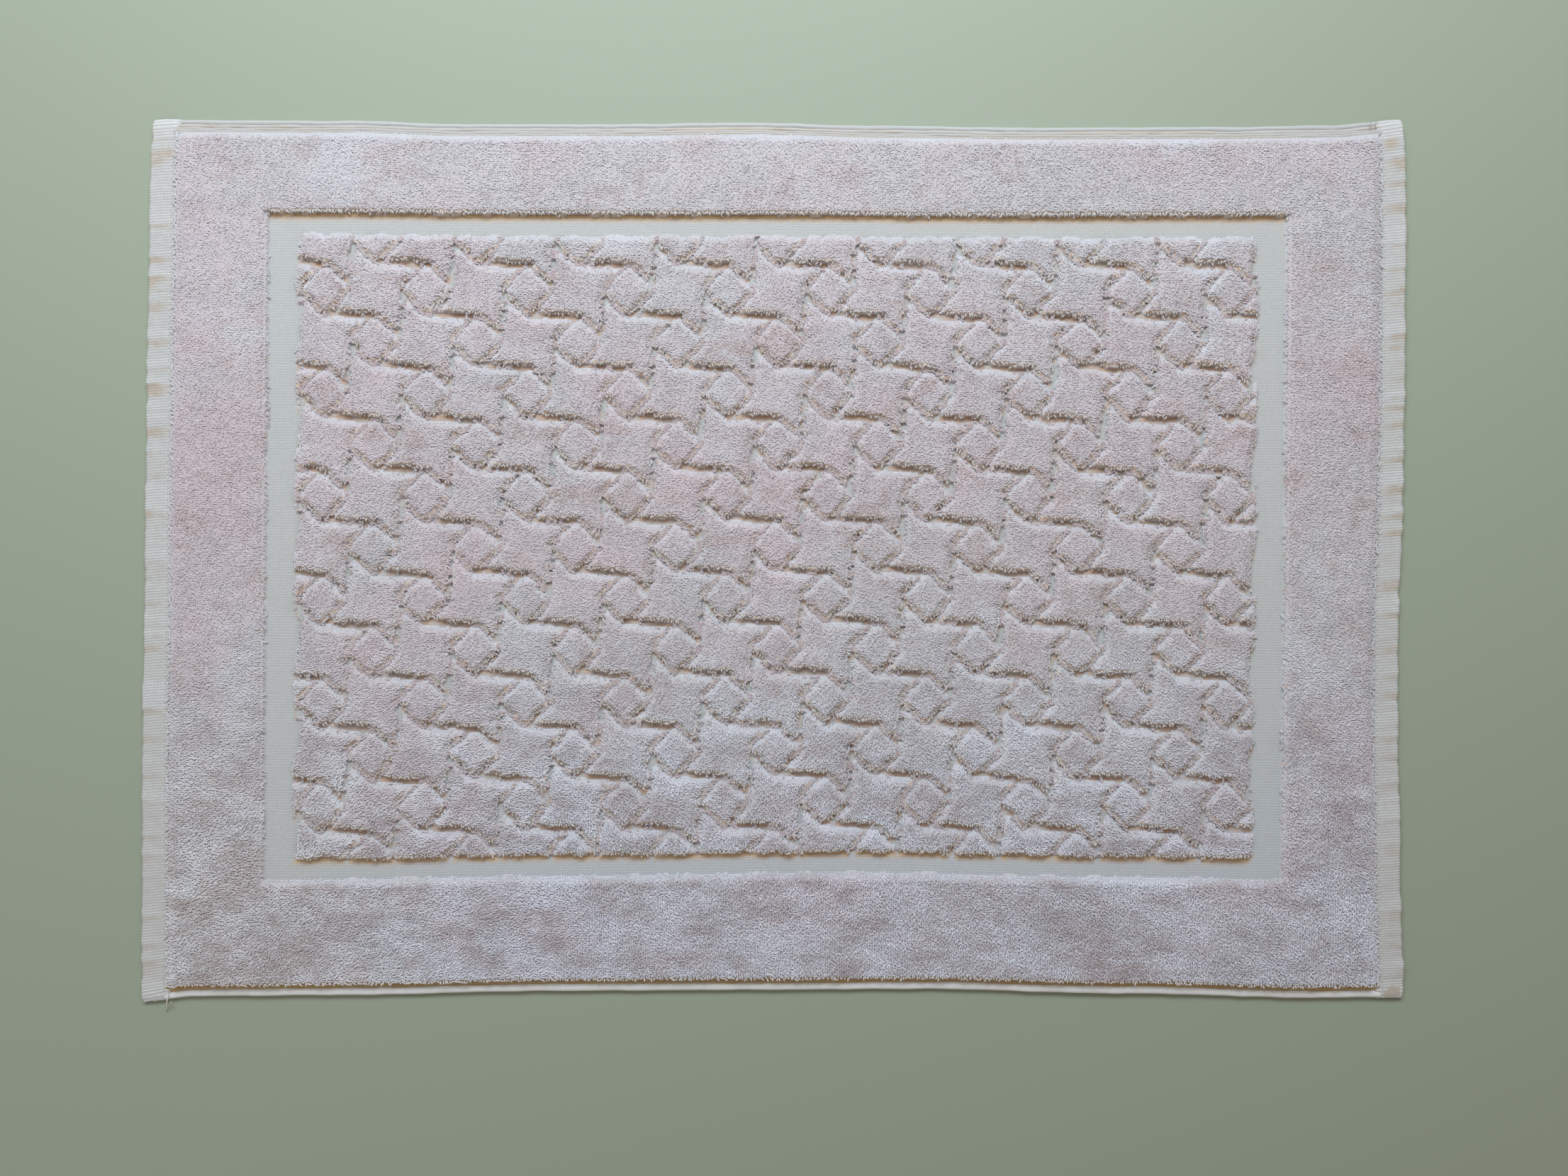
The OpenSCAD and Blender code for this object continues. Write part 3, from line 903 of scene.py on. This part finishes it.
def make_ribs(side_sign, name):
    """Short slanted strands in rows round the hem, flatter near its ends, where the selvedge is turned in."""
    rng = np.random.default_rng(RIB_SEED + side_sign)
    places = np.arange(0.2, HEM_ROUND - 0.4, RIB_STEP)
    rows = int((2 * HEM_END - 0.6) / RIB_PITCH) + 1
    i, j = np.meshgrid(np.arange(len(places)), np.arange(rows))
    u, v = places[i].ravel(), -HEM_END + 0.9 + j.ravel() * RIB_PITCH
    n = u.size
    corner = 1 - smoothstep((HEM_END - np.abs(v) - 8) / 1.5)
    slant = np.radians(10 + rng.normal(0, 4, n)) * (1 - 0.7 * corner)
    along = RIB_LENGTH * np.array([-0.5, -0.25, 0.25, 0.5])
    path_u = u[:, None] + along * np.cos(slant)[:, None]
    path_v = (v + 0.10 * (u - 5) * side_sign)[:, None] + along * np.sin(slant)[:, None]
    path_v = path_v + rng.normal(0, 0.03, n)[:, None]
    path_v = np.clip(path_v, -HEM_END + 0.3, HEM_END - 0.3)
    crest = (HEM_RIB * 0.85 * (1 - 0.55 * corner))[:, None] * np.array([0.25, 1.0, 1.0, 0.25])
    foot = np.full(crest.shape, -0.06)
    ring_u = np.repeat(path_u[:, :, None], STRIP_WIDTH, axis=2)
    ring_v = path_v[:, :, None] + RIB_RADII[:, None] * np.array([-1.0, 0.0, 1.0])
    ring_w = np.stack([foot, crest, foot], axis=2)
    points = wrap_hem(side_sign, ring_u.ravel(), ring_v.ravel(), ring_w.ravel())
    colour = rib_colours(side_sign, u, v, corner, rng)
    ring_colours = np.repeat(colour, len(RIB_RADII), axis=0)
    # Painted shade and highlight: each rib's flanks are painted darker and its crest paler.
    colours = (ring_colours[:, None, :] * np.array([0.78, 1.12, 0.78])[:, None]).reshape(-1, 3)
    faces = strip_faces(n, len(RIB_RADII), flip=side_sign > 0)
    return mesh_piece(f"{name}_ribs", laid(points), faces, colours, hem_mat)


def make_hem(side_sign, name, nodes):
    """The folded hem: a smooth band with rope-like ribs round its fold."""
    fold_end = HEM_ROUND - HEM_FLAT
    us = np.concatenate([
        np.linspace(-HEM_OVERLAP, HEM_FLAT, 13),
        np.linspace(HEM_FLAT, fold_end, 9)[1:],
        np.linspace(fold_end, HEM_ROUND, 6)[1:],
    ])
    u, v, faces = grid_sheet(us, np.linspace(-HEM_END, HEM_END, HEM_ROWS))
    if side_sign < 0:
        faces = faces[:, ::-1]
    points = wrap_hem(side_sign, u, v, 0.0)
    colours = np.broadcast_to(CREAM * 0.9, (u.size, 3))
    band = mesh_piece(f"{name}_band", laid(points), faces, colours, hem_mat, nodes)
    return [band, make_ribs(side_sign, name)]


def make_stitches(side_sign, name, node):
    """The lockstitch seam: a row of short threads pressed into the hem."""
    low, high = corners(node)
    x = (low[0] + high[0]) / 2
    count = int((high[1] - low[1]) / STITCH_PITCH) + 1
    y = (np.arange(count) - (count - 1) / 2) * STITCH_PITCH
    rng = np.random.default_rng(STITCH_SEED + side_sign)
    rings, sides = 5, 6
    path = np.zeros((count, rings, 3))
    path[..., 0] = x + rng.normal(0, 0.08, count)[:, None]
    path[..., 1] = y[:, None] + np.array([-0.5, -0.35, 0.0, 0.35, 0.5]) * STITCH_LENGTH
    path[..., 2] = HEM_H + np.array([-0.80, -0.46, -0.40, -0.46, -0.80])
    radii = np.tile([0.22, 0.28, 0.3, 0.28, 0.22], (count, 1))
    side = np.tile([1.0, 0, 0], (count, 1))
    points = tubes(path, radii, side, sides)
    colours = np.broadcast_to(CREAM, (len(points), 3))
    return mesh_piece(name, laid(points), tube_faces(count, rings, sides), colours, thread_mat,
                      [node])


# ---- selvedges


def make_cord(sign, name, node, order, y, z, radius, flatness, sides, colour, stain):
    """One cord or roll along X, with its own thickness, wobble and tan marks, which order sets."""
    is_roll = sides == ROLL_SIDES
    seed = CORD_SEED + 10 * order + sign
    rings = CORD_RINGS
    xs = np.linspace(-HEM_X - 1, HEM_X + 1, rings)
    still = np.zeros(rings)
    angle = ring_angles(sides)
    ripple = 1 + (0.015 if is_roll else 0.06) * np.sin(2 * math.pi * xs / 1.5 + 2.0 * order)
    thick = 1 + 0.08 * lattice_noise(xs, still, 11, seed)
    wobble = 0.15 * lattice_noise(xs, still, 8, seed + 3)
    groove = 1 + 0.03 * np.cos(11 * angle) * is_roll
    r = radius * (ripple * thick)[:, None] * groove
    cord_x = xs[:, None] + np.zeros(sides)
    cord_y = y + wobble[:, None] + r * np.cos(angle)
    cord_z = z + r * np.sin(angle) * flatness
    points = np.stack([cord_x, sign * cord_y, cord_z], axis=-1).reshape(-1, 3)
    patches = lattice_noise(xs, still, 45, seed + 5) + 0.5 * lattice_noise(xs, still, 6, seed + 6)
    spots = smoothstep((patches + 0.3) / 0.9)
    fine = 1 + 0.04 * lattice_noise(cord_x, angle + np.zeros((rings, 1)), 1.1, seed + 7)
    tan = TAN * (1.1 if sign > 0 else 0.9)
    tone = mix(colour, tan, stain * (0.35 + 0.65 * spots))[:, None, :] * fine[..., None]
    faces = tube_faces(1, rings, sides, flip=sign > 0)
    return mesh_piece(name, laid(points), faces, tone.reshape(-1, 3), edge_mat, [node])


def make_selvedge(sign, name, node, roll, cords):
    """Parallel cords and an outer roll, along X.

    Each cord is its inset from the pile, radius, height, colour and share of tan, and the roll is its radius
    across, flatness and colour.
    """
    made = []
    for k, (inset, radius, z, colour, stain) in enumerate(cords):
        made.append(make_cord(sign, f"{name}_cord_{k + 1}", node, k, SELVEDGE_Y + inset, z, radius, 1.0,
                              CORD_SIDES, colour, stain))
    radius, flatness, colour = roll
    made.append(make_cord(sign, f"{name}_roll", node, len(cords), EDGE_Y - radius, radius * flatness + 0.15,
                          radius, flatness, ROLL_SIDES, colour, 0.0))
    return made


# ---- loose threads


def thread(name, points, radius, colour, node):
    """A limp thread end along a few points."""
    line = np.array(points, float)
    rings, sides = 24, 8
    t = np.linspace(0, len(line) - 1, rings)
    path = np.stack([between(t, np.arange(len(line)), line[:, k]) for k in range(3)], axis=1)[None]
    along = path[0, -1] - path[0, 0]
    side = np.cross(along, [0, 0, 1.0])
    side = (side / np.linalg.norm(side))[None]
    verts = tubes(path, np.full((1, rings), radius), side, sides)
    colours = np.broadcast_to(colour, (len(verts), 3))
    return mesh_piece(name, laid(verts), tube_faces(1, rings, sides), colours, thread_mat, [node])


def make_threads():
    """The loose ends at the lower left and the upper right, each from the corner of the pile there."""
    left, low = -HEM_X, -SELVEDGE_Y - 3.5
    right, high = HEM_X, SELVEDGE_Y
    dark = DEPTH * 0.5
    tails, ends = "thread_tails_bottom_left", "thread_tails_top_right"
    long_tail = [(left + 0.9, low + 0.6, 3.0), (left + 0.2, low - 2.6, 3.2), (left - 0.5, low - 5.6, 2.0),
                 (left - 1.2, low - 8.6, 0.5)]
    short_tail = [(left + 2.6, low - 2.6, 3.4), (left + 2.0, low - 4.4, 3.0), (left + 1.2, low - 6.0, 1.2)]
    knot = [(left - 4.2, low - 1.6, 1.0), (left - 5.4, low - 2.3, 1.2), (left - 6.6, low - 1.8, 0.9)]
    end_1 = [(right - 4.2, high + 1.5, 3.9), (right - 4.9, high + 3.4, 4.1), (right - 4.1, high + 5.2, 3.9)]
    end_2 = [(right - 1.8, high + 1.9, 3.9), (right - 1.7, high + 3.8, 4.1), (right - 0.9, high + 5.6, 3.8)]
    return [
        thread("thread_tail_long", long_tail, 0.3, WARM_WHITE, tails),
        thread("thread_tail_short", short_tail, 0.3, WARM_WHITE, tails),
        thread("thread_knot", knot, 0.55, WHITE, tails),
        thread("thread_end_dark_1", end_1, 0.14, dark, ends),
        thread("thread_end_dark_2", end_2, 0.14, dark, ends),
    ]


# ---- the scene round the mat


def make_floor():
    """A plain pale floor under the mat."""
    mesh = bpy.data.meshes.new("floor")
    half = 6.0  # metres
    square = [(-half, -half, 0), (half, -half, 0), (half, half, 0), (-half, half, 0)]
    mesh.from_pydata(square, [], [(0, 1, 2, 3)])
    floor = bpy.data.objects.new("floor", mesh)
    bpy.context.scene.collection.objects.link(floor)
    mat = bpy.data.materials.new("pale_floor")
    mat.use_nodes = True
    shader = mat.node_tree.nodes["Principled BSDF"]
    shader.inputs["Base Color"].default_value = (0.36, 0.42, 0.33, 1)
    shader.inputs["Roughness"].default_value = 0.6
    mesh.materials.append(mat)


def make_light(name, place, target, size, power, colour):
    """A rectangular light at a place, turned to a target. Lengths are metres."""
    light = bpy.data.lights.new(name, "AREA")
    light.shape = "RECTANGLE"
    light.size, light.size_y = size
    light.energy = power
    light.color = colour
    lamp = bpy.data.objects.new(name, light)
    lamp.location = place
    lamp.rotation_mode = "QUATERNION"
    lamp.rotation_quaternion = (Vector(target) - Vector(place)).to_track_quat("-Z", "Y")
    bpy.context.scene.collection.objects.link(lamp)


def make_camera():
    """A camera straight above the mat, high enough to see a given width of floor."""
    cam = bpy.data.cameras.new("camera")
    cam.sensor_width = 36.0
    cam.lens = 26.0
    cam.clip_start = 0.01
    view = bpy.data.objects.new("camera", cam)
    width_seen = 877.8 * MM
    view.location = (0.0044, -0.0143, 0.006 + width_seen * cam.lens / cam.sensor_width)
    bpy.context.scene.collection.objects.link(view)
    bpy.context.scene.camera = view


def make_world():
    """Warm, even light from all round."""
    world = bpy.data.worlds.new("soft_room")
    world.use_nodes = True
    back = world.node_tree.nodes["Background"]
    back.inputs["Color"].default_value = (1.0, 0.87, 0.74, 1)
    back.inputs["Strength"].default_value = 0.275
    bpy.context.scene.world = world


make_camera()
make_world()
make_floor()
make_light("window", place=(-0.08, 0.86, 0.86), target=(0, 0.05, 0), size=(1.3, 0.42), power=15.4,
           colour=(0.87, 0.94, 1.0))
make_light("fill", place=(-0.55, -0.50, 0.35), target=(-0.20, -0.12, 0), size=(0.8, 0.8), power=0.4,
           colour=(0.90, 0.95, 1.0))
bpy.context.scene.view_settings.view_transform = "Standard"
bpy.context.scene.view_settings.look = "None"

ground = make_ground()
parts = make_floats()
parts += make_face_pile()
parts.append(make_bed("border_pile_bed", [-HEM_X, -SELVEDGE_Y], [HEM_X, SELVEDGE_Y], [BORDER], BED_CELL))
parts.append(make_bed("panel_pile_bed", panel_low - BED_MARGIN, panel_high + BED_MARGIN, [WHEEL, DIAMOND],
                      PANEL_BED_CELL))
parts += make_back()
parts += make_hem(-1, "hem_left", ["hem_left", "hem_left_turn_in"])
parts += make_hem(1, "hem_right", ["hem_right", "hem_right_turn_in"])
parts.append(make_stitches(-1, "hem_left_seam", "hem_left_stitching"))
parts.append(make_stitches(1, "hem_right_seam", "hem_right_stitching"))
parts += make_selvedge(1, "selvedge_top", "selvedge_top", (1.1, 1.0, WHITE * 0.86),
                       [(-0.6, 0.75, 2.4, WHITE * 0.84, 0.1), (0.45, 0.75, 2.25, CREAM * 0.9, 0.4),
                        (1.5, 0.75, 2.1, CREAM * 0.9, 0.2), (2.55, 0.75, 1.95, CREAM * 0.9, 0.6)])
# The lower roll is painted paler than the upper one, a painted highlight.
parts += make_selvedge(-1, "selvedge_bottom", "selvedge_bottom", (1.65, 0.75, WHITE * 1.28),
                       # Painted shade: the lower cords are brown under the pile's hanging edge, darkest
                       # nearest it.
                       [(0.4, 0.7, 2.0, STRIP_SHADE_BROWN, 0.2), (1.4, 0.8, 1.6, STRIP_SHADE_BROWN * 1.25, 0.4)])
parts += make_threads()
